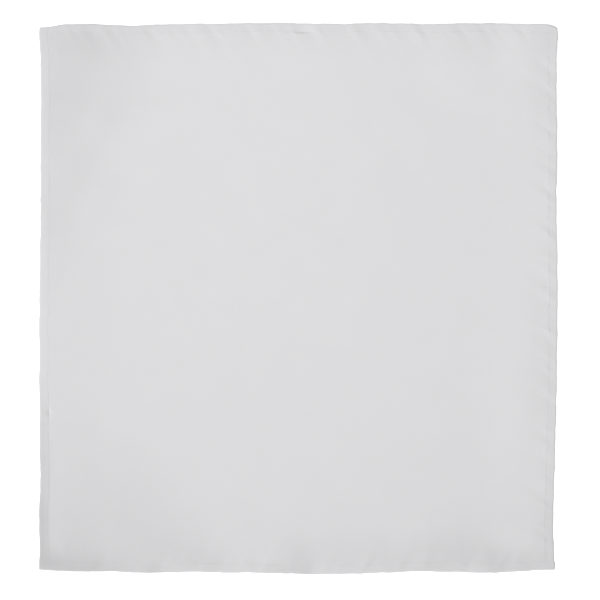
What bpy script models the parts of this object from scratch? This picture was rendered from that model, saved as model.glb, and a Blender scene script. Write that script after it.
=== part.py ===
"""A plain square bandana laid out flat: one panel of light cotton with a narrow turned hem.

The cloth lies on the plane z = 0 with its upper edge towards +Y, and the origin is under the middle
of its outline. The tables and dimensions are in millimetres, and the mesh is made in metres.
"""

import math
from collections import namedtuple

import bmesh
import bpy
import numpy as np

MM = 0.001

# Driving dimensions, in millimetres.
WIDTH = 517.4  # finished size, between the straight lines that the two side edges stray from
LENGTH = 549.5  # the same, from the lower edge to the upper one
HEM_WIDTH = 8.5  # from the edge to the hem's line of stitches
SHEET_THICKNESS = 1.1
HEM_THICKNESS = 1.8  # the cloth is turned over twice
CORNER_THICKNESS = 2.6  # two hems cross
FOLD_THICKNESS = 0.9  # at the very edge, where the cloth turns over
FOLD_ROUNDING = 1.2  # from the edge to the hem's full thickness
HEM_SLOPE = 0.9  # to each side of the stitches, from the hem down to the single layer
CORNER_RADIUS = 3.5
PRESSED = 0.3  # of every fold's height, which the cloth's own weight presses flat
CELLS_ACROSS = 44  # between the hems
CELLS_ALONG = 47

COTTON_COLOUR = (0.70, 0.70, 0.712, 1.0)
COTTON_ROUGHNESS = 0.9

# A hem draws the cloth up along its stitches, so no edge is straight. Each row says how far the edge
# strays outwards from its straight line, at a place measured from the edge's middle towards +X or +Y.
Stray = namedtuple("Stray", "along out")

UPPER_EDGE = [
    Stray(-258, -4.9),
    Stray(-250, -4.4),
    Stray(-244, -3.2),
    Stray(-226, -1.7),
    Stray(-208, -1.0),
    Stray(-186, -2.0),
    Stray(-166, -2.3),
    Stray(-140, -1.1),
    Stray(-80, -0.2),
    Stray(-25, 0.5),
    Stray(40, -0.4),
    Stray(84, 0.4),
    Stray(126, -0.6),
    Stray(180, 0.3),
    Stray(232, -0.7),
    Stray(250, -1.4),
    Stray(258, -3.0),
]
LOWER_EDGE = [
    Stray(-258, -5.0),
    Stray(-248, -4.3),
    Stray(-215, -2.4),
    Stray(-196, -2.6),
    Stray(-160, -0.9),
    Stray(-128, -0.8),
    Stray(-106, -1.4),
    Stray(-84, -0.6),
    Stray(-34, -0.5),
    Stray(20, 0.8),
    Stray(76, -0.5),
    Stray(120, -2.4),
    Stray(144, -2.2),
    Stray(184, -1.3),
    Stray(206, -1.6),
    Stray(238, -3.6),
    Stray(258, -4.0),
]
LEFT_EDGE = [
    Stray(-275, -0.3),
    Stray(-254, -0.8),
    Stray(-226, 0.5),
    Stray(-198, -0.3),
    Stray(-172, -0.3),
    Stray(-142, 0.5),
    Stray(-112, 0.2),
    Stray(-92, 1.1),
    Stray(-70, 0.6),
    Stray(-34, 1.0),
    Stray(20, 0.4),
    Stray(90, -0.6),
    Stray(150, -0.9),
    Stray(205, -1.6),
    Stray(240, -1.4),
    Stray(262, -0.5),
    Stray(275, -0.7),
]
RIGHT_EDGE = [
    Stray(-275, -3.4),
    Stray(-250, -4.3),
    Stray(-222, -4.3),
    Stray(-180, -2.9),
    Stray(-140, -1.9),
    Stray(-100, -0.8),
    Stray(-60, -0.3),
    Stray(14, 0.3),
    Stray(50, 0.0),
    Stray(98, -0.9),
    Stray(130, -0.1),
    Stray(176, -0.2),
    Stray(214, -0.8),
    Stray(250, -0.5),
    Stray(264, -0.2),
    Stray(275, -1.2),
]

# The soft folds that lift the cloth off the surface, most of them along its edges, with the middle flat.
# A fold's crest is centred at x, y and runs at the heading (degrees from +X towards +Y). It eases to
# nothing at half its length, and at its own reach to the left and to the right of the heading.
Fold = namedtuple("Fold", "name x y heading length left right height")

FOLDS = [
    Fold("upper left corner lift", -276, 246, 64, 320, 100, 150, 5.4),
    Fold("left side lift", -300, 130, 90, 400, 60, 110, 3.0),
    Fold("first slanting ridge", -201, 174, 48, 90, 24, 24, 0.5),
    Fold("second slanting ridge", -200, 100, 48, 80, 22, 22, 0.3),
    Fold("lower left side roll", -272, -180, 90, 340, 20, 28, 1.6),
    Fold("lower left corner lift", -250, -334, -16, 360, 240, 80, 6.4),
    Fold("lower left corner roll", -268, -290, -45, 110, 36, 36, 3.0),
    Fold("lower edge roll, left part", -230, -295, 0, 170, 50, 40, 2.2),
    Fold("lower edge lift, left part", -140, -326, 0, 300, 110, 80, 2.6),
    Fold("middle flute", -12, -318, 90, 220, 70, 40, 1.5),
    Fold("lower edge lift, right part", 90, -302, 0, 500, 78, 70, 5.6),
    Fold("lower right corner lift", 240, -340, 6, 540, 180, 80, 5.6),
    Fold("first right flute", 98, -310, 92, 130, 40, 30, 0.8),
    Fold("second right flute", 124, -310, 92, 130, 24, 24, 0.4),
    Fold("third right flute", 174, -310, 90, 130, 40, 34, 0.5),
]


def clear_scene():
    for obj in list(bpy.data.objects):
        bpy.data.objects.remove(obj, do_unlink=True)


def stray_at(edge, places):
    """How far an edge strays at some places along it: a cubic through its rows, with no kink at a row."""
    along, out = np.array(edge, dtype=float).T
    slope = np.gradient(out, along)
    row = np.clip(np.searchsorted(along, places) - 1, 0, len(along) - 2)
    gap = along[row + 1] - along[row]
    t = np.clip((places - along[row]) / gap, 0.0, 1.0)
    rise = out[row + 1] - out[row]
    ease = t * t * (3 - 2 * t)
    start = t * (1 - t) ** 2 * gap * slope[row]
    end = t * t * (1 - t) * gap * slope[row + 1]
    return out[row] + ease * rise + start - end


def stations(span, cells):
    """Grid lines from one edge to the other, measured from the middle: close in the hems, even between."""
    half = span / 2
    rows = [0.0, FOLD_ROUNDING, HEM_WIDTH - HEM_SLOPE]
    inner_half = half - HEM_WIDTH - HEM_SLOPE
    inner = np.linspace(-inner_half, inner_half, cells + 1)
    low_hem = [row - half for row in rows]
    high_hem = [half - row for row in reversed(rows)]
    return np.concatenate([low_hem, inner, high_hem])


def round_corners(x, y):
    """Turns each square corner of the grid into a quarter disc of the corner's radius."""
    middle_x = WIDTH / 2 - CORNER_RADIUS
    middle_y = LENGTH / 2 - CORNER_RADIUS
    a = np.clip((np.abs(x) - middle_x) / CORNER_RADIUS, 0, 1)
    b = np.clip((np.abs(y) - middle_y) / CORNER_RADIUS, 0, 1)
    cut_x = a * (1 - np.sqrt(1 - b * b / 2)) * CORNER_RADIUS
    cut_y = b * (1 - np.sqrt(1 - a * a / 2)) * CORNER_RADIUS
    return x - np.sign(x) * cut_x, y - np.sign(y) * cut_y


def outline_places(x, y):
    """Moves the points of the straight rectangle so that its four sides follow the four edges."""
    to_right = x / WIDTH + 0.5
    to_top = y / LENGTH + 0.5
    left, right = stray_at(LEFT_EDGE, y), stray_at(RIGHT_EDGE, y)
    low, high = stray_at(LOWER_EDGE, x), stray_at(UPPER_EDGE, x)
    return x - left * (1 - to_right) + right * to_right, y - low * (1 - to_top) + high * to_top


def lift(x, y):
    """Height of the underside: each fold adds height * (1 - reach squared) cubed. What is pressed comes off
    the sum, and the rest lies at zero."""
    height = np.zeros_like(x)
    for fold in FOLDS:
        turn = math.radians(fold.heading)
        along = (x - fold.x) * math.cos(turn) + (y - fold.y) * math.sin(turn)
        across = (y - fold.y) * math.cos(turn) - (x - fold.x) * math.sin(turn)
        side = np.where(across > 0, fold.left, fold.right)
        reach = np.hypot(2 * along / fold.length, across / side)
        height += fold.height * np.clip(1 - reach**2, 0, 1) ** 3
    return np.maximum(height - PRESSED, 0.0)


def thickness(x, y):
    """One layer inside, more in the hems, most where two hems cross, and a rounded outer edge."""
    inset_x = WIDTH / 2 - np.abs(x)
    inset_y = LENGTH / 2 - np.abs(y)
    rows = [HEM_WIDTH - HEM_SLOPE, HEM_WIDTH + HEM_SLOPE]
    side_hem = np.interp(inset_x, rows, [1, 0])
    end_hem = np.interp(inset_y, rows, [1, 0])
    layers = SHEET_THICKNESS + (HEM_THICKNESS - SHEET_THICKNESS) * np.maximum(side_hem, end_hem)
    layers += (CORNER_THICKNESS - HEM_THICKNESS) * side_hem * end_hem
    full = np.interp(np.minimum(inset_x, inset_y), [0, FOLD_ROUNDING], [0, 1])
    return FOLD_THICKNESS + (layers - FOLD_THICKNESS) * full


def cotton():
    material = bpy.data.materials.new("white cotton")
    material.use_nodes = True
    shader = material.node_tree.nodes["Principled BSDF"]
    shader.inputs["Base Color"].default_value = COTTON_COLOUR
    shader.inputs["Roughness"].default_value = COTTON_ROUGHNESS
    shader.inputs["Metallic"].default_value = 0.0
    return material


def cloth_panel(collection):
    """The underside of the cloth as a grid, given its thickness upwards by Solidify."""
    across = stations(WIDTH, CELLS_ACROSS)
    along = stations(LENGTH, CELLS_ALONG)
    flat_x, flat_y = np.meshgrid(across, along)
    x, y = outline_places(*round_corners(flat_x, flat_y))
    x -= (x.min() + x.max()) / 2
    y -= (y.min() + y.max()) / 2
    z = lift(flat_x, flat_y)
    weight = thickness(flat_x, flat_y) / CORNER_THICKNESS

    grid = bmesh.new()
    columns, rows = len(across) - 1, len(along) - 1
    bmesh.ops.create_grid(grid, x_segments=columns, y_segments=rows, size=0.5)
    layer = grid.verts.layers.deform.verify()
    for vert in grid.verts:
        column = round((vert.co.x + 0.5) * columns)
        row = round((vert.co.y + 0.5) * rows)
        vert.co = (x[row, column] * MM, y[row, column] * MM, z[row, column] * MM)
        vert[layer][0] = weight[row, column]
    mesh = bpy.data.meshes.new("cloth_panel")
    grid.to_mesh(mesh)
    grid.free()
    mesh.shade_smooth()
    mesh.materials.append(cotton())

    panel = bpy.data.objects.new("cloth_panel", mesh)
    collection.objects.link(panel)
    panel.vertex_groups.new(name="thickness")
    solid = panel.modifiers.new("thickness", "SOLIDIFY")
    solid.thickness = CORNER_THICKNESS * MM
    solid.offset = 1.0
    solid.vertex_group = "thickness"
    return panel


def main():
    clear_scene()
    collection = bpy.data.collections.new("bandana")
    bpy.context.scene.collection.children.link(collection)
    cloth_panel(collection)


main()
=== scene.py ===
import math

import bpy
import numpy as np
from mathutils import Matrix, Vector


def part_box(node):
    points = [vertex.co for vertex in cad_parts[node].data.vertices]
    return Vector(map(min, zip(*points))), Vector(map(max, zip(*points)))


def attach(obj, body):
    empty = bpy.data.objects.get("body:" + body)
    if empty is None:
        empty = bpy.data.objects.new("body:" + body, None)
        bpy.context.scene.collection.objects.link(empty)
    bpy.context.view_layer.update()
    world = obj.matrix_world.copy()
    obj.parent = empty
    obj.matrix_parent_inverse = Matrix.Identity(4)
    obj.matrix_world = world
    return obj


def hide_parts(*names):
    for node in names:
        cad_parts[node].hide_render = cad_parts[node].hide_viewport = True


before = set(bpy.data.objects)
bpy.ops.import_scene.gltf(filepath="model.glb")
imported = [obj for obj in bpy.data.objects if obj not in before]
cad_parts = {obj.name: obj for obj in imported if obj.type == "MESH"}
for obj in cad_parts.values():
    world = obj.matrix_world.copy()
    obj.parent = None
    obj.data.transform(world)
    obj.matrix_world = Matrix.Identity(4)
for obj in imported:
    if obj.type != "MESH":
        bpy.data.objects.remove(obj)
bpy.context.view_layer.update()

mm = 0.001
panelNode = "cloth_panel"


class Wire:
    # an output socket that can stand in an expression: each operator lays down one Math node
    def __init__(self, graph, socket):
        self.graph = graph
        self.socket = socket

    def maths(self, operation, *values):
        inputs = dict(enumerate(values))
        return self.graph.node("ShaderNodeMath", {"operation": operation}, inputs)

    def __add__(self, other):
        return self.maths("ADD", self, other)

    def __radd__(self, other):
        return self.maths("ADD", other, self)

    def __sub__(self, other):
        return self.maths("SUBTRACT", self, other)

    def __rsub__(self, other):
        return self.maths("SUBTRACT", other, self)

    def __mul__(self, other):
        return self.maths("MULTIPLY", self, other)

    def __rmul__(self, other):
        return self.maths("MULTIPLY", other, self)

    def __truediv__(self, other):
        return self.maths("DIVIDE", self, other)

    def __pow__(self, other):
        return self.maths("POWER", self, other)

    def __abs__(self):
        return self.maths("ABSOLUTE", self)

    def sine(self):
        return self.maths("SINE", self)

    def exp(self):
        return self.maths("EXPONENT", self)


class Graph:
    # a node tree, with one method that makes any node in it
    def __init__(self, tree):
        self.tree = tree

    def node(self, kind, settings=None, inputs=None, output=0):
        made = self.tree.nodes.new(kind)
        for name, value in (settings or {}).items():
            setattr(made, name, value)
        for name, value in (inputs or {}).items():
            self.feed(made.inputs[name], value)
        return Wire(self, made.outputs[output])

    def feed(self, socket, value):
        if isinstance(value, Wire):
            self.tree.links.new(value.socket, socket)
        else:
            socket.default_value = value

    def parts(self, vector):
        # the three numbers of a vector
        split = self.node("ShaderNodeSeparateXYZ", {}, {"Vector": vector}).socket.node
        return [Wire(self, socket) for socket in split.outputs]


class Finish(Graph):
    # a new material and its Principled shader, whose constant values are set on its own sockets
    def __init__(self, name, constants):
        self.material = bpy.data.materials.new(name)
        self.material.use_nodes = True
        super().__init__(self.material.node_tree)
        self.shader = self.tree.nodes["Principled BSDF"]
        for socket, value in constants.items():
            self.shader.inputs[socket].default_value = value

    def drive(self, name, value):
        self.feed(self.shader.inputs[name], value)

    def noise(self, place, stretch, detail=2.0):
        # from -0.5 to 0.5, with about one lump a unit once the place is multiplied by the stretch
        spot = self.node("ShaderNodeVectorMath", {"operation": "MULTIPLY"}, {0: place, 1: stretch})
        inputs = {"Vector": spot, "Scale": 1.0, "Detail": detail}
        return self.node("ShaderNodeTexNoise", {}, inputs) - 0.5

    def blend(self, share, first, second):
        # first * (1 - share) + second * share: the colour sockets of a Mix node are 6, 7 and output 2
        inputs = {0: share, 6: first, 7: second}
        return self.node("ShaderNodeMix", {"data_type": "RGBA"}, inputs, 2)


# The bandana's cloth, in millimetres. The finished width and length come from the solid's box.
cloth = {
    "ply": 0.19,  # one layer of cotton
    "tight": 0.195,  # from layer to layer at the edge, at the stitches and in the corners
    "loose": 0.207,  # the same in the rest of the hem
    "puff": 6.0,  # from the edge to where the hem is at its loosest
    "hem": 9.8,  # from the edge to the hem's inner fold
    "stitches": 8.6,  # from the edge to the line of stitches
    "under": 7.8,  # how far the last ply reaches back towards the edge
    "step": 4.6,  # inside the hem, where three layers ease to one
    "settle": 60,  # inside the hem, where the face comes down to the table
    "cornerSettle": 60,  # the same from the thick corners
    "pinch": 1.2,  # half the width of the groove along the stitches
    "rise": 0.02,  # how far the stitches draw the underside up
    "pucker": 0.12,  # height of the gathers that the stitches leave in the cloth
    "puckerReach": 13,  # how far from the stitches they fade
    "puckerMost": 3,  # times that height, at the highest gather
    "puckerSlant": 0.6,  # how far they lean along the hem for each mm away from it
    "puckerShift": (40, -25),  # moves them along the side and end hems, so that no two are alike
    "calmReach": 12,  # from where two lines of stitches cross to where the gathers begin to come back
    "calm": 0.8,  # share of the gathers that is missing there
    "endReach": 30,  # how far inside the side edges the ends of the end hems draw the cloth out
    "endRounding": 2.4,  # where such an end steps back to the side edge
    "cellsAcross": 156,
    "cellsAlong": 166,
    "turns": 6,  # steps round the outer fold
    "innerTurns": 4,  # steps round the inner fold
    "foldRows": (5.8, 3.0, 1.3, 0.4, -0.4),  # rows of points on the face, in from the hem's inner fold
    "stitchRows": (0.4, 0, -0.5),  # the same, in from the stitches
    "faceRows": (6.9, 4.4, 1.9),  # the same, in from the edge
    "bottomRows": (2.2, 5.0, 7.4),  # on the hem's lowest ply, in from the edge
    "middleRows": (8.2, 5.0),  # on its middle ply, in from the edge
}

# how far each edge strays outwards from its straight line, at a place along it from its middle
upperEdge = [
    (-258, -4.9), (-250, -4.4), (-244, -3.2), (-226, -1.7), (-208, -1.0), (-186, -2.0),
    (-166, -2.3), (-140, -1.1), (-80, -0.2), (-25, 0.5), (40, -0.4), (84, 0.4), (126, -0.6),
    (180, 0.3), (232, -0.7), (250, -1.4), (258, -3.0),
]
lowerEdge = [
    (-258, -5.0), (-248, -4.3), (-215, -2.4), (-196, -2.6), (-160, -0.9), (-128, -0.8),
    (-106, -1.4), (-84, -0.6), (-34, -0.5), (20, 0.8), (76, -0.5), (120, -2.4), (144, -2.2),
    (184, -1.3), (206, -1.6), (238, -3.6), (258, -4.0),
]
leftEdge = [
    (-275, -0.3), (-254, -0.8), (-226, 0.5), (-198, -0.3), (-172, -0.3), (-142, 0.5), (-112, 0.2),
    (-92, 1.1), (-70, 0.6), (-34, 1.0), (20, 0.4), (90, -0.6), (150, -0.9), (205, -1.6),
    (240, -1.4), (262, -0.5), (275, -0.7),
]
rightEdge = [
    (-275, -3.4), (-250, -4.3), (-222, -4.3), (-180, -2.9), (-140, -1.9), (-100, -0.8), (-60, -0.3),
    (14, 0.3), (50, 0.0), (98, -0.9), (130, -0.1), (176, -0.2), (214, -0.8), (250, -0.5),
    (264, -0.2), (275, -1.2),
]

# soft folds: x, y, heading in degrees, length, reach to the left and right of the heading, and height
folds = [
    (-276, 246, 64, 320, 100, 150, 5.4),  # upper left corner lift
    (-300, 130, 90, 400, 60, 110, 3.0),  # left side lift
    (-201, 174, 48, 90, 24, 24, 0.5),  # first slanting ridge
    (-200, 100, 48, 80, 22, 22, 0.3),  # second slanting ridge
    (-272, -180, 90, 340, 20, 28, 1.6),  # lower left side roll
    (-250, -334, -16, 360, 240, 80, 6.4),  # lower left corner lift
    (-268, -290, -45, 120, 50, 36, 2.8),  # lower left corner roll
    (-230, -295, 0, 170, 50, 40, 2.2),  # lower edge roll, left part
    (-140, -326, 0, 300, 110, 80, 2.6),  # lower edge lift, left part
    (-12, -318, 90, 220, 70, 40, 1.5),  # middle flute
    (90, -302, 0, 500, 78, 70, 5.6),  # lower edge lift, right part
    (240, -340, 6, 540, 180, 80, 5.6),  # lower right corner lift
    (98, -310, 92, 130, 40, 30, 0.8),  # first right flute
    (124, -310, 92, 130, 24, 24, 0.4),  # second right flute
    (190, -310, 90, 170, 38, 34, 1.2),  # third right flute
    (227, 222, 90, 240, 100, 38, 0.38),  # upper right side ridge
    (226, -80, 90, 280, 70, 36, 0.4),  # lower right side ridge
    (206, -272, 2, 90, 22, 26, 0.7),  # lower right corner roll
    (138, -256, -2, 130, 60, 24, 0.4),  # lower hem roll, right part
    (-205, -262, -14, 200, 50, 30, -0.6),  # lower left hollow
    (-36, -284, 0, 140, 24, 20, 1.1),  # lower hem roll, middle
    (-270, -232, 90, 110, 20, 25, 1.1),  # lower left hem roll
    (-150, -284, 0, 60, 22, 20, 0.9),  # lower hem roll, left part
    (-108, -270, 0, 80, 26, 20, 0.5),  # lower hem roll, beside it
    (158, 240, 90, 120, 50, 60, 0.45),  # upper edge ridge
    (-205, 282, 0, 150, 20, 22, 0.8),  # upper left hem roll
    (-230, 138, 80, 110, 40, 42, 0.4),  # left side ridge
    (210, 236, -45, 110, 55, 90, 0.3),  # upper right corner ridge
    (40, 236, 0, 760, 70, 140, 0.7),  # upper edge roll
]

# dents where the stitches pull the hem down: x, y, half length, reach to the outside and to the inside,
# and depth
tucks = [
    (3, 265.9, 7, 5.0, 0.8, 0.36),  # upper hem
    (-249.4, -115.5, 2, 1.8, 1.3, 0.55),  # left hem
    (-249.4, -137, 2.2, 2.0, 2.6, 0.12),  # left hem, below it
]

# corners, by the sides that they lie on: radius, and how far and for how long the end hem's own end
# sticks out of the side
cornerShapes = {
    (-1, -1): (1.0, 0.1, 8.5),
    (1, -1): (2.2, 0.9, 8.5),
    (-1, 1): (0.9, 0.4, 8.5),
    (1, 1): (2.4, 0.8, 13.5),
}


def edgeCurve(rows, places):
    # a cubic between each two rows of an edge, whose slope at a row is that of its neighbours
    along, out = np.array(rows, float).T
    slope = np.gradient(out, along)
    row = np.clip(np.searchsorted(along, places) - 1, 0, len(along) - 2)
    gap = along[row + 1] - along[row]
    t = np.clip((places - along[row]) / gap, 0, 1)
    ends = out[row] + t * t * (3 - 2 * t) * (out[row + 1] - out[row])
    return ends + t * (1 - t) * gap * ((1 - t) * slope[row] - t * slope[row + 1])


def smoothStep(t):
    # t * t * (3 - 2 * t), from 0 up to 1
    t = np.clip(t, 0, 1)
    return t * t * (3 - 2 * t)


def ripple(along, waves):
    # a sum of sine waves, each given as its length, height and phase
    return sum(height * np.sin(2 * math.pi * along / length + phase) for length, height, phase in waves)


def furthestOut(rows):
    # the most that an edge strays outwards, over 2000 places along it
    return edgeCurve(rows, np.linspace(rows[0][0], rows[-1][0], 2000)).max()


# finished size, from the solid's box less what the edges stray beyond their straight lines
low, high = (np.array(corner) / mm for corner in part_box(panelNode))
outLeft, outRight = furthestOut(leftEdge), furthestOut(rightEdge)
outLower, outUpper = furthestOut(lowerEdge), furthestOut(upperEdge)
halfWidth = (high[0] - low[0] - outLeft - outRight) / 2
halfLength = (high[1] - low[1] - outLower - outUpper) / 2
middleX = (high[0] + low[0] + outLeft - outRight) / 2
middleY = (high[1] + low[1] + outLower - outUpper) / 2
print(f"finished size {2 * halfWidth:.1f} x {2 * halfLength:.1f} mm")


def hemRows():
    # The cloth's path from the inner cloth out through a double-turned hem, as rows of inset, shift,
    # swing, drop and angle. A point lies (inset + shift * G - swing * G * sin angle) in from the edge
    # and (drop - swing * cos angle) plies below the face, where G is the thickness that is folded.
    c = cloth
    face = [c["hem"] + away for away in c["foldRows"]]
    face += [c["stitches"] + away for away in c["stitchRows"]]
    face += c["faceRows"]
    bottom = [*c["bottomRows"], c["stitches"]]
    middle = [*c["middleRows"], c["hem"] - c["under"]]
    innerTurn = np.linspace(math.pi, 2 * math.pi, c["innerTurns"] + 1)
    rows = [(inset, 0, 0, 0, 0) for inset in face]
    rows += [(0, 1, 1, 1, turn) for turn in np.linspace(0, math.pi, c["turns"] + 1)]
    rows += [(inset, 0, 0, 2, math.pi) for inset in bottom]
    rows += [(c["hem"], -0.5, 0.5, 1.5, turn) for turn in innerTurn]
    rows += [(inset, 0, 0, 1, 2 * math.pi) for inset in middle]
    return np.array(rows, float)


def axisRows(half, cells):
    # one side's hem mirrored on the other side, with even rows between; the last column is the side
    hem = hemRows()
    inner = np.linspace(-half + hem[0, 0], half - hem[0, 0], cells + 1)[1:-1]
    between = np.zeros((len(inner), 6))
    between[:, 0] = half - np.abs(inner)
    between[:, 5] = np.where(inner < 0, -1, 1)
    far = np.column_stack([hem, np.ones(len(hem))])
    near = np.column_stack([hem[::-1], -np.ones(len(hem))])
    return np.vstack([near, between, far])


def flatPlaces(rows, half):
    # distance over the flat, uncut cloth from its middle: the length of the path that the rows follow
    inset, shift, swing, drop, angle, side = rows.T
    g = cloth["loose"]
    out = side * (half - inset - shift * g + swing * g * np.sin(angle))
    deep = g * (drop - swing * np.cos(angle))
    places = np.concatenate([[0], np.cumsum(np.hypot(np.diff(out), np.diff(deep)))])
    return places - places[-1] / 2


def hemShare(inset, slope):
    # 1 in the hem, easing to 0 over the slope inside it
    return 1 - smoothStep((inset - cloth["hem"]) / slope)


# small waves in the edges and in the gathers: length, height and phase
edgeWaves = [(43, 0.16, 0.3), (26.5, 0.13, 1.9), (15.2, 0.1, 4.2), (9.1, 0.05, 2.6)]
puckerWaves = [(31, 0.5, 0.8), (19.5, 0.45, 2.2), (12.4, 0.4, 5.1), (8.3, 0.25, 3.3)]
edgeShift = {"left": 0, "right": 90, "lower": 37, "upper": -61}  # moves them along each edge


def dents(x, y):
    # each tuck is depth * exp(-a * a - b * b), where a is the distance along its hem in half lengths
    # and b the distance across it in reaches
    depth = np.zeros_like(x)
    for tuckX, tuckY, half, outside, inside, deepest in tucks:
        besideEnd = halfLength - abs(tuckY) < halfWidth - abs(tuckX)
        along = (x - tuckX if besideEnd else y - tuckY) / half
        outwards = (y - tuckY) * np.sign(tuckY) if besideEnd else (x - tuckX) * np.sign(tuckX)
        across = outwards / np.where(outwards > 0, outside, inside)
        depth += deepest * np.exp(-(along**2) - across**2)
    return depth


def lift(x, y):
    # Each soft fold is height * (1 - r * r) ** 3, where r is the distance from its centre in half
    # lengths and reaches. The stitches add gathers, pucker * exp(-distance / reach) times their waves,
    # which are nearly gone where two lines of stitches cross, and the tucks take their dents away.
    c = cloth
    height = np.zeros_like(x)
    for foldX, foldY, heading, length, left, right, most in folds:
        turn = math.radians(heading)
        along = (x - foldX) * math.cos(turn) + (y - foldY) * math.sin(turn)
        across = (y - foldY) * math.cos(turn) - (x - foldX) * math.sin(turn)
        r2 = (2 * along / length) ** 2 + (across / np.where(across > 0, left, right)) ** 2
        height += most * np.clip(1 - r2, 0, 1) ** 3
    fromSide = np.abs(halfWidth - np.abs(x) - c["stitches"])
    fromEnd = np.abs(halfLength - np.abs(y) - c["stitches"])
    shiftX, shiftY = c["puckerShift"]
    besideX = 1 + ripple(y + c["puckerSlant"] * np.abs(x) + shiftX * np.sign(x), puckerWaves)
    besideY = 1 + ripple(x + c["puckerSlant"] * np.abs(y) + shiftY * np.sign(y), puckerWaves)
    gathers = np.exp(-fromSide / c["puckerReach"]) * np.clip(besideX, 0, c["puckerMost"])
    gathers += np.exp(-fromEnd / c["puckerReach"]) * np.clip(besideY, 0, c["puckerMost"])
    cornerward = smoothStep(2 - np.hypot(fromSide, fromEnd) / c["calmReach"])
    return height + c["pucker"] * gathers * (1 - c["calm"] * cornerward) - dents(x, y)


def outline(x, y):
    # The straight rectangle has its corners rounded and the ends of the end hems standing out at its
    # sides. Then each side moves by its edge's stray, in full there and less towards the opposite side.
    radius, knob, knobLength = (np.zeros_like(x) for _ in range(3))
    for (sideX, sideY), shape in cornerShapes.items():
        here = (x * sideX >= 0) & (y * sideY >= 0)
        radius[here], knob[here], knobLength[here] = shape
    a = np.clip((np.abs(x) - halfWidth + radius) / radius, 0, 1)
    b = np.clip((np.abs(y) - halfLength + radius) / radius, 0, 1)
    nearSide = np.clip(1 - (halfWidth - np.abs(x)) / cloth["endReach"], 0, 1)
    pastEnd = smoothStep((halfLength - np.abs(y) - knobLength) / cloth["endRounding"] + 0.5)
    out = knob * nearSide * (1 - pastEnd)
    newX = x - np.sign(x) * (a * (1 - np.sqrt(1 - b * b / 2)) * radius - out)
    newY = y - np.sign(y) * b * (1 - np.sqrt(1 - a * a / 2)) * radius
    toRight = x / (2 * halfWidth) + 0.5
    toTop = y / (2 * halfLength) + 0.5
    left = edgeCurve(leftEdge, y) + ripple(y + edgeShift["left"], edgeWaves)
    right = edgeCurve(rightEdge, y) + ripple(y + edgeShift["right"], edgeWaves)
    lower = edgeCurve(lowerEdge, x) + ripple(x + edgeShift["lower"], edgeWaves)
    upper = edgeCurve(upperEdge, x) + ripple(x + edgeShift["upper"], edgeWaves)
    newX += right * toRight - left * (1 - toRight) + middleX
    newY += upper * toTop - lower * (1 - toTop) + middleY
    return newX, newY


def clothPoints(rowsX, rowsY):
    # The middle of the cloth's thickness, for every pair of an X row and a Y row. The side hems are
    # folded first, and the end hems then fold what is there: one ply inside, three in the side hems.
    c = cloth
    insetX, shiftX, swingX, dropX, angleX, sideX = (row[None, :] for row in rowsX.T)
    insetY, shiftY, swingY, dropY, angleY, sideY = (row[:, None] for row in rowsY.T)
    g = c["tight"]
    x = sideX * (halfWidth - insetX - shiftX * g + swingX * g * np.sin(angleX))
    below = dropX - swingX * np.cos(angleX)
    shareX = hemShare(halfWidth - np.abs(x), c["step"])
    plies = 1 + 2 * shareX
    offset = (plies - 1) / 2 - below  # of this ply from the middle of the folded bundle, in plies
    thick = plies * g
    y = sideY * (halfLength - insetY - shiftY * thick + (swingY * thick + offset * g) * np.sin(angleY))
    shareY = hemShare(halfLength - np.abs(y), c["step"])
    belowY = dropY - swingY * np.cos(angleY)
    index = (2 * shareY + 0.5 - belowY) * plies + offset * np.cos(angleY)
    x = x + 0 * y  # for the whole grid
    fromLineX = (halfWidth - np.abs(x) - c["stitches"]) / c["pinch"]
    fromLineY = (halfLength - np.abs(y) - c["stitches"]) / c["pinch"]
    press = np.maximum(np.exp(-(fromLineX**2)) * shareX, np.exp(-(fromLineY**2)) * shareY)
    # the face is two layers higher in the hems and six more in the corners, and comes down from both
    fromSide, fromEnd = halfWidth - np.abs(x), halfLength - np.abs(y)
    wideX, wideY = hemShare(fromSide, c["settle"]), hemShare(fromEnd, c["settle"])
    bulkX, bulkY = hemShare(fromSide, c["cornerSettle"]), hemShare(fromEnd, c["cornerSettle"])
    fromEdge = np.minimum(fromSide, fromEnd)
    puff = (c["loose"] - c["tight"]) * (1 - press) * smoothStep(fromEdge / c["puff"])
    face = 2 * (1 - (1 - wideX) * (1 - wideY)) * (c["tight"] + puff) + 6 * bulkX * bulkY * c["tight"]
    under = plies * (1 + 2 * shareY) - 0.5 - index  # plies from the face down to this one
    down = under * (c["tight"] + puff * (1 - shareX * shareY))
    z = c["ply"] / 2 + face - down + c["rise"] * press + lift(x, y)
    return np.stack([*outline(x, y), z], axis=-1)


def surfaceNormals(points):
    # cross product of the steps to the next column and to the next row
    normal = np.cross(np.gradient(points, axis=1), np.gradient(points, axis=0))
    return normal / np.linalg.norm(normal, axis=-1, keepdims=True)


def newMesh(name, points, *faceSets):
    # points in millimetres, and arrays of faces that each have one number of corners
    mesh = bpy.data.meshes.new(name)
    loops = np.concatenate([faces.ravel() for faces in faceSets])
    sizes = np.concatenate([np.full(len(faces), faces.shape[1]) for faces in faceSets])
    mesh.vertices.add(len(points))
    mesh.vertices.foreach_set("co", (points * mm).astype(np.float32).ravel())
    mesh.loops.add(len(loops))
    mesh.loops.foreach_set("vertex_index", loops.astype(np.int32))
    mesh.polygons.add(len(sizes))
    mesh.polygons.foreach_set("loop_start", (np.cumsum(sizes) - sizes).astype(np.int32))
    mesh.update(calc_edges=True)
    mesh.validate()
    mesh.shade_smooth()
    piece = bpy.data.objects.new(name, mesh)
    bpy.context.scene.collection.objects.link(piece)
    return piece


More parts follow.
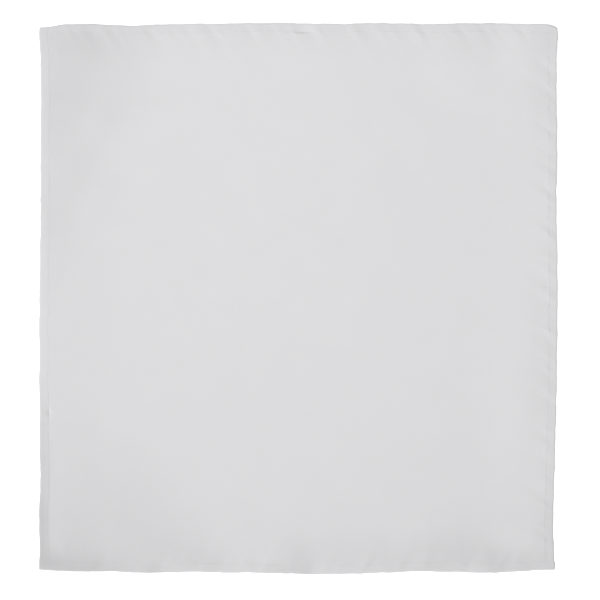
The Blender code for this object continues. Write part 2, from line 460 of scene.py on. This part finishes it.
def makeCloth():
    # the face and the back are the middle surface moved half a ply along its normals, and a narrow
    # strip along the cut edge, inside the hem, closes them
    rowsX = axisRows(halfWidth, cloth["cellsAcross"])
    rowsY = axisRows(halfLength, cloth["cellsAlong"])
    middle = clothPoints(rowsX, rowsY)
    outwards = surfaceNormals(middle) * cloth["ply"] / 2
    points = np.concatenate([(middle + outwards).reshape(-1, 3), (middle - outwards).reshape(-1, 3)])
    points[:, 2] = np.maximum(points[:, 2], 0)
    count, width = middle.shape[:2]
    number = np.arange(count * width).reshape(count, width)
    corners = [number[:-1, :-1], number[:-1, 1:], number[1:, 1:], number[1:, :-1]]
    quads = np.stack(corners, axis=-1).reshape(-1, 4)
    rim = np.concatenate([number[0, :-1], number[:-1, -1], number[-1, :0:-1], number[:0:-1, 0]])
    behind = count * width
    nextRim = np.roll(rim, -1)
    strip = np.stack([rim, rim + behind, nextRim + behind, nextRim], axis=-1)
    piece = newMesh("bandana_cloth", points, quads, quads[:, ::-1] + behind, strip)

    flatX = flatPlaces(rowsX, halfWidth) * mm
    flatY = flatPlaces(rowsY, halfLength) * mm
    flat = np.stack(np.meshgrid(flatX, flatY), axis=-1).reshape(-1, 2)
    vertexOfLoop = np.empty(len(piece.data.loops), np.int32)
    piece.data.loops.foreach_get("vertex_index", vertexOfLoop)
    flatLayer = piece.data.uv_layers.new(name="flatCloth")
    flatLayer.uv.foreach_set("vector", flat[vertexOfLoop % behind].astype(np.float32).ravel())
    return piece, (float(np.ptp(flatX)), float(np.ptp(flatY)))


panel, flatSize = makeCloth()
print(f"cloth: {len(panel.data.polygons)} faces, cut to {flatSize[0]:.3f} x {flatSize[1]:.3f} m")

# The hem's lockstitches, in millimetres: the same line of thread shows on the face and the underside.
stitching = {
    "pitch": 2.6,
    "gap": 0.06,  # left free at each end of a stitch, as a share of the pitch
    "thread": 0.24,
    "thinnest": 0.55,  # share of the thread's thickness that is left at the ends of a stitch
    "height": 0.03,  # of the thread's middle over the cloth, halfway along a stitch
    "sink": 0.1,  # how deep each end goes into its hole
    "wander": 0.12,  # how far the line strays to each side
    "wanderWaves": [(57, 0.6, 1.1), (23, 0.4, 0.4)],
    "wanderShift": 31,  # moves the waves along, so that opposite lines differ
    "besideLine": 0.2,  # to each side of the line, where the slope of the cloth is taken
    "endGap": 1.2,  # from the cloth's edge to the first and last stitch
    "rings": 6,  # of points along a stitch
    "sides": 5,  # points in a ring
}


def stitchLine(side, alongX, under):
    # The stitches of one line as points and frames. Each stitch is a thread's profile carried along a
    # middle that is (height + sink) * sqrt(sin(pi * t)) - sink above the cloth, and thins at its ends.
    s = stitching
    half = halfWidth if alongX else halfLength
    reach = half - s["endGap"] - (cloth["hem"] if under and not alongX else 0)
    count = round(2 * reach / s["pitch"])
    t = np.linspace(0, 1, s["rings"])
    spot = np.arange(count)[:, None] + s["gap"] + (1 - 2 * s["gap"]) * t  # along the line, in stitches
    along = (spot * 2 * reach / count - reach).ravel()
    line = np.zeros((len(along), 6))
    line[:, 0] = half - np.abs(along)
    line[:, 5] = np.where(along < 0, -1, 1)
    lane = np.zeros((3, 6))
    lane[:, 0] = cloth["stitches"] + s["besideLine"] * np.array([1, 0, -1])
    lane[:, 3:] = (2, math.pi, side) if under else (0, 0, side)
    points = clothPoints(line, lane) if alongX else clothPoints(lane, line).transpose(1, 0, 2)
    across = points[2] - points[0]
    forward = np.gradient(points[1], axis=0)
    up = np.cross(across, forward)
    up *= np.sign(up[:, 2:]) * (-1 if under else 1)
    across, up = (v / np.linalg.norm(v, axis=1, keepdims=True) for v in (across, up))
    bulge = np.tile(np.sqrt(np.sin(math.pi * t).clip(0)), count)[:, None]
    stray = ripple(along + s["wanderShift"] * side, s["wanderWaves"])[:, None] * s["wander"]
    rise = (s["height"] + s["sink"]) * bulge - s["sink"]
    centre = points[1] + across * stray + up * (cloth["ply"] / 2 + rise)
    radius = s["thread"] / 2 * (s["thinnest"] + (1 - s["thinnest"]) * bulge)
    turned = np.cross(forward, up)
    turned /= np.linalg.norm(turned, axis=1, keepdims=True)
    return centre, turned * radius, up * radius


def makeStitching():
    # every stitch of every line: rings of points at centre + across * cos(turn) + up * sin(turn), with
    # one point at each end
    rings, sides = stitching["rings"], stitching["sides"]
    frames = [
        stitchLine(side, alongX, under)
        for side in (-1, 1)
        for alongX in (True, False)
        for under in (False, True)
    ]
    centre, across, up = (np.concatenate(parts) for parts in zip(*frames))
    turn = np.linspace(0, 2 * math.pi, sides + 1)[:-1, None]
    skin = centre[:, None] + np.cos(turn) * across[:, None] + np.sin(turn) * up[:, None]
    ends = centre.reshape(-1, rings, 3)[:, [0, -1]]
    points = np.concatenate([skin.reshape(-1, rings * sides, 3), ends], axis=1)
    points[..., 2] = np.maximum(points[..., 2], 0)
    number = np.arange(rings * sides).reshape(rings, sides)
    beside = np.roll(number, -1, axis=1)
    quads = np.stack([number[:-1], beside[:-1], beside[1:], number[1:]], axis=-1).reshape(-1, 4)
    nearTip, farTip = rings * sides, rings * sides + 1
    nearEnd = np.stack([beside[0], number[0], np.full(sides, nearTip)], axis=-1)
    farEnd = np.stack([number[-1], beside[-1], np.full(sides, farTip)], axis=-1)
    start = np.arange(len(points))[:, None, None] * points.shape[1]
    sets = [(start + faces).reshape(-1, faces.shape[1]) for faces in (quads, nearEnd, farEnd)]
    return newMesh("hem_stitching", points.reshape(-1, 3), *sets), len(points)


threads, stitchCount = makeStitching()
print(f"stitching: {stitchCount} stitches")

# Woven cotton. Lengths are in metres, on the flat cloth.
cotton = {
    "white": (0.7038, 0.7013, 0.7135),
    "mottle": 0.012,  # share by which the darkest places are darker
    "clouds": (28, 28, 1),  # to a metre, across and along
    "slubsOne": (900, 45, 1),  # to a metre, in one set of yarns
    "slubsTwo": (38, 800, 1),  # and in the other
    "cloudShade": 1.2,  # how much of the mottling comes from the clouds
    "slubShade": 0.5,  # and from the slubs
    "yarn": 0.00042,
    "yarnHeight": 0.000016,
    "slubHeight": 0.00003,
    "hole": 0.0004,  # half the width of a needle's hole
    "holeDepth": 0.00003,
    "roughness": 0.9,
    "roughnessChange": 0.08,
    "sheen": 0.25,
    "sheenRoughness": 0.5,
}


def stitchedPlaces(half):
    # where the line of stitches crosses each ply, in metres from the middle of the flat cloth
    rows = axisRows(half, 2)
    crossed = (rows[:, 5] > 0) & (np.abs(rows[:, 0] - cloth["stitches"]) < 0.01)
    return flatPlaces(rows, half)[crossed] * mm


def makeCotton():
    # Two sets of yarns that pass over and under each other, slubs drawn out along both sets, faint
    # clouds, and the needle's holes in rows along the hems. A yarn is the absolute value of a sine, and
    # the product of both sines says which set lies on top.
    c = cotton
    constants = {"Sheen Weight": c["sheen"], "Sheen Roughness": c["sheenRoughness"]}
    finish = Finish("white woven cotton", constants)
    flat = finish.node("ShaderNodeUVMap", {"uv_map": "flatCloth"})
    u, v = finish.parts(flat)[:2]

    acrossYarns = (u * (math.pi / c["yarn"])).sine()
    alongYarns = (v * (math.pi / c["yarn"])).sine()
    over = acrossYarns * alongYarns * 0.5 + 0.5
    weave = abs(acrossYarns) * over + abs(alongYarns) * (1 - over)

    slubs = finish.noise(flat, c["slubsOne"]) + finish.noise(flat, c["slubsTwo"])
    clouds = finish.noise(flat, c["clouds"], detail=3.0)
    shade = slubs * c["slubShade"] + clouds * c["cloudShade"] + 0.5

    holes = 0
    for place, other, half in ((u, v, halfWidth), (v, u, halfLength)):
        hole = (other * (2 * math.pi / (stitching["pitch"] * mm))).sine() * 0.5 + 0.5
        for line in stitchedPlaces(half):
            away = (abs(place) - float(line)) / c["hole"]
            holes = (away * away * -1).exp() * hole**3 + holes
    height = weave * c["yarnHeight"] + slubs * c["slubHeight"] - holes * c["holeDepth"]

    dark = [value * (1 - c["mottle"]) for value in c["white"]]
    light = [value * (1 + c["mottle"]) for value in c["white"]]
    finish.drive("Base Color", finish.blend(shade, (*dark, 1), (*light, 1)))
    finish.drive("Roughness", clouds * c["roughnessChange"] + c["roughness"])
    relief = {"Strength": 1.0, "Distance": 1.0, "Height": height}
    finish.drive("Normal", finish.node("ShaderNodeBump", {}, relief))
    return finish.material


# The sewing thread, in metres.
sewingThread = {
    "dark": (0.70, 0.70, 0.71),
    "light": (0.74, 0.74, 0.75),
    "clouds": (400, 400, 400),
    "twist": 0.0006,  # from one turn to the next
    "twistHeight": 0.00002,
    "roughness": 0.62,
    "roughnessChange": 0.1,
    "sheen": 0.2,
    "sheenRoughness": 0.4,
}


def makeThread():
    # a plied thread, a touch glossier than the cloth, with its twist as a slanting sine across it
    c = sewingThread
    constants = {"Sheen Weight": c["sheen"], "Sheen Roughness": c["sheenRoughness"]}
    finish = Finish("white sewing thread", constants)
    place = finish.node("ShaderNodeTexCoord", {}, output=3)  # Object
    x, y = finish.parts(place)[:2]
    twist = ((x + y) * (2 * math.pi / c["twist"])).sine() * c["twistHeight"]
    clouds = finish.noise(place, c["clouds"])
    finish.drive("Base Color", finish.blend(clouds + 0.5, (*c["dark"], 1), (*c["light"], 1)))
    finish.drive("Roughness", clouds * c["roughnessChange"] + c["roughness"])
    relief = {"Strength": 1.0, "Distance": 1.0, "Height": twist}
    finish.drive("Normal", finish.node("ShaderNodeBump", {}, relief))
    return finish.material


panel.data.materials.append(makeCotton())
threads.data.materials.append(makeThread())
print("materials done")

# Studio, in metres: a white table, a white sky, a broad lamp overhead, and far away a low one that
# rakes across the cloth from its left.
studio = {
    "tableSize": 8.0,
    "tableDrop": 0.0002,
    "tableWhite": (0.9, 0.9, 0.9),
    "tableRoughness": 0.9,
    "tableGlow": 0.6,
    "skyOverhead": 0.12,
    "skyHorizon": 1.02,
    "skyBand": (0.25, 0.45),  # where it goes from the second to the first, as a height on a unit sphere
    "overheadPlace": (-0.10, 0.13, 1.25),
    "overheadSize": 0.7,
    "overheadPower": 6.6,
    "rakingPlace": (-0.88, -0.47, 0.3),
    "rakingAngle": 14,  # degrees that it spans, seen from the cloth
    "rakingPower": 4.45,
    "lens": 85,
    "sensor": 36,
    "cameraHeight": 1.417,
    "cameraShift": (0.0018, -0.0016),
}


def makeTable():
    # a square with its middle under the cloth
    half = studio["tableSize"] / 2 / mm
    x, y = np.meshgrid([-half, half], [-half, half])
    points = np.stack([x, y, np.full_like(x, -studio["tableDrop"] / mm)], axis=-1).reshape(-1, 3)
    table = newMesh("table", points, np.array([[0, 1, 3, 2]]))
    constants = {
        "Base Color": (*studio["tableWhite"], 1),
        "Roughness": studio["tableRoughness"],
        "Emission Color": (1, 1, 1, 1),
        "Emission Strength": studio["tableGlow"],
    }
    table.data.materials.append(Finish("white table", constants).material)


def makeLamp(name, kind, place, power):
    # a lamp that faces the middle of the cloth
    lamp = bpy.data.lights.new(name, kind)
    lamp.energy = power
    holder = bpy.data.objects.new(name, lamp)
    holder.location = place
    holder.rotation_euler = (-Vector(place)).to_track_quat("-Z", "Y").to_euler()
    holder.visible_camera = False
    bpy.context.scene.collection.objects.link(holder)
    return lamp


def makeSky():
    # white that is brighter towards the horizon, where the table meets it
    world = bpy.data.worlds.new("studio")
    world.use_nodes = True
    bpy.context.scene.world = world
    graph = Graph(world.node_tree)
    height = graph.parts(graph.node("ShaderNodeTexCoord"))[2]
    bandLow, bandHigh = studio["skyBand"]
    inputs = {
        "Value": height,
        "From Min": bandLow,
        "From Max": bandHigh,
        "To Min": studio["skyHorizon"],
        "To Max": studio["skyOverhead"],
    }
    strength = graph.node("ShaderNodeMapRange", {"interpolation_type": "SMOOTHSTEP"}, inputs)
    background = world.node_tree.nodes["Background"]
    background.inputs["Color"].default_value = (1, 1, 1, 1)
    graph.feed(background.inputs["Strength"], strength)


def makeCamera():
    # straight above, with the sensor's width across
    camera = bpy.data.cameras.new("camera")
    camera.lens = studio["lens"]
    camera.sensor_width = studio["sensor"]
    holder = bpy.data.objects.new("camera", camera)
    holder.location = (*studio["cameraShift"], studio["cameraHeight"])
    bpy.context.scene.collection.objects.link(holder)
    bpy.context.scene.camera = holder


makeTable()
overhead = makeLamp("overhead", "AREA", studio["overheadPlace"], studio["overheadPower"])
overhead.size = studio["overheadSize"]
raking = makeLamp("raking", "SUN", studio["rakingPlace"], studio["rakingPower"])
raking.angle = math.radians(studio["rakingAngle"])
makeSky()
makeCamera()
bpy.context.scene.view_settings.view_transform = "Standard"
print("studio done")

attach(panel, "root")
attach(threads, "root")
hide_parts(panelNode)
